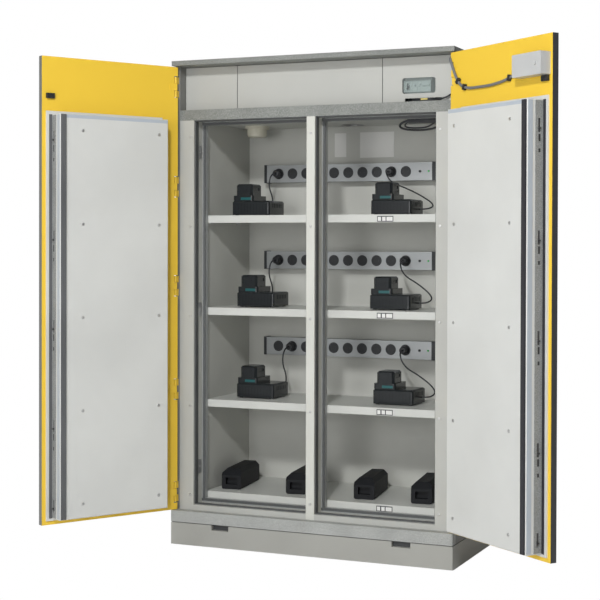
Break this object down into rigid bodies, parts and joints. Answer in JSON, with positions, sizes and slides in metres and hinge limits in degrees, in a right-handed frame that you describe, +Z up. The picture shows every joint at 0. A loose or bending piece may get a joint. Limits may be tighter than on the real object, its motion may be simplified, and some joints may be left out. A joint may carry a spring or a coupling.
{
  "type": "battery charging cabinet",
  "caption": "Tall two-door fire-resistant battery storage and charging cabinet with shelves, socket strips and chargers.",
  "frame": {"origin": "on the floor under the middle of the cabinet body", "axes": "+Z up, front faces -Y, +X to the right of a person facing the front"},
  "size_m": [1.973, 1.1083, 2.003],
  "materials": {
    "yellow_door": "satin",
    "light_panel": "satin",
    "speckled_rail": "satin",
    "plinth_grey": "satin",
    "carcass_dark": "satin",
    "insulation_board": "matte",
    "liner_grey": "satin",
    "seal_black": "matte",
    "seal_grey": "matte",
    "zinc_steel": "satin",
    "aluminium_profile": "satin",
    "black_plastic": "matte",
    "cream_plastic": "matte",
    "grey_plastic": "satin",
    "cable_grey": "matte",
    "clear_window": "gloss",
    "lamp_green": "gloss",
    "charger_black": "satin",
    "white_leaf": "satin",
    "white_post": "satin",
    "light_jamb": "satin",
    "white_rail": "satin"
  },
  "bodies": {
    "cabinet": {"base_rail": "speckled_rail", "bike_batteries": "black_plastic", "breakers": "grey_plastic", "ceiling_connector": "black_plastic", "charger_cases": "charger_black", "charger_cord_1": "black_plastic", "charger_cord_2": "black_plastic", "charger_cord_3": "black_plastic", "charger_cord_4": "black_plastic", "charger_cord_5": "black_plastic", "charger_cord_6": "black_plastic", "charger_plugs": "black_plastic", "exhaust_spigot": "zinc_steel", "frame_fixings": "zinc_steel", "front_frame": "light_jamb", "hinge_frame_leaves": "zinc_steel", "indicator_lamps": "lamp_green", "insulation": "insulation_board", "ledge_rail": "speckled_rail", "liners": "liner_grey", "middle_post": "white_post", "outer_boards": "carcass_dark", "plinth_frame": "plinth_grey", "seal_profiles": "seal_grey", "seal_strips": "seal_black", "shelf_supports": "zinc_steel", "shelves": "white_rail", "smoke_detector": "cream_plastic", "socket_end_blocks": "black_plastic", "socket_inserts": "black_plastic", "socket_profiles": "aluminium_profile", "tool_batteries": "charger_black", "top_board": "speckled_rail", "upper_covers": "light_panel", "upper_frame": "zinc_steel", "window_pane": "clear_window"},
    "left_door": {"left_door_fixings": "zinc_steel", "left_door_panel": "yellow_door", "left_door_seal": "seal_black", "left_hinge_leaves": "zinc_steel", "left_inner_leaf": "white_leaf", "left_lock_rail": "aluminium_profile"},
    "right_door": {"right_door_fixings": "zinc_steel", "right_door_panel": "yellow_door", "right_door_seal": "seal_black", "right_hinge_leaves": "zinc_steel", "right_inner_leaf": "white_leaf", "right_lock_rail": "aluminium_profile", "control_box": "grey_plastic", "door_cable": "cable_grey", "cable_clips": "black_plastic"},
    "left_rod": {"left_lock_rod": "zinc_steel"},
    "right_rod": {"right_lock_rod": "zinc_steel"},
    "handle": {"door_handle": "black_plastic"},
    "controller_button": {"control_button": "grey_plastic"},
    "reset_1": {"reset_button_1": "black_plastic"},
    "reset_2": {"reset_button_2": "black_plastic"},
    "reset_3": {"reset_button_3": "black_plastic"},
    "switch": {"main_switch_lever": "black_plastic"},
    "cover": {"plinth_cover": "plinth_grey"}
  },
  "joints": [
    {"name": "left_door_hinge", "type": "hinge", "parent": "cabinet", "child": "left_door", "pos_m": [-0.588, -0.29, 0.95], "axis": [0, 0, 1], "range_deg": [-28, 121.2]},
    {"name": "right_door_hinge", "type": "hinge", "parent": "cabinet", "child": "right_door", "pos_m": [0.588, -0.29, 0.95], "axis": [0, 0, -1], "range_deg": [-6, 143]},
    {"name": "left_rod_slide", "type": "slide", "parent": "left_door", "child": "left_rod", "axis": [0, 0, 1], "range_m": [0, 0.02]},
    {"name": "handle_turn", "type": "hinge", "parent": "right_door", "child": "handle", "pos_m": [1.01222, -0.58776, 1.05], "axis": [0.6018, 0.7986, 0], "range_deg": [0, 90]},
    {"name": "right_rod_slide", "type": "slide", "parent": "right_door", "child": "right_rod", "axis": [0, 0, 1], "range_m": [0, 0.0201]},
    {"name": "controller_button_press", "type": "slide", "parent": "right_door", "child": "controller_button", "axis": [0.6018, 0.7986, 0], "range_m": [0, 0.004], "stiffness_N_per_m": 300},
    {"name": "reset_1_press", "type": "slide", "parent": "cabinet", "child": "reset_1", "axis": [0, 1, 0], "range_m": [0, 0.003], "stiffness_N_per_m": 300},
    {"name": "reset_2_press", "type": "slide", "parent": "cabinet", "child": "reset_2", "axis": [0, 1, 0], "range_m": [0, 0.003], "stiffness_N_per_m": 300},
    {"name": "reset_3_press", "type": "slide", "parent": "cabinet", "child": "reset_3", "axis": [0, 1, 0], "range_m": [0, 0.003], "stiffness_N_per_m": 300},
    {"name": "switch_tilt", "type": "hinge", "parent": "cabinet", "child": "switch", "pos_m": [0.376, -0.188, 1.822], "axis": [1, 0, 0], "range_deg": [-60, 0]},
    {"name": "cover_pull", "type": "slide", "parent": "cabinet", "child": "cover", "axis": [0, -1, 0], "range_m": [0, 0.03]}
  ],
  "couplings": [
    {"joint": "right_rod_slide", "follows": "handle_turn", "m_per_rad": 0.012732}
  ]
}
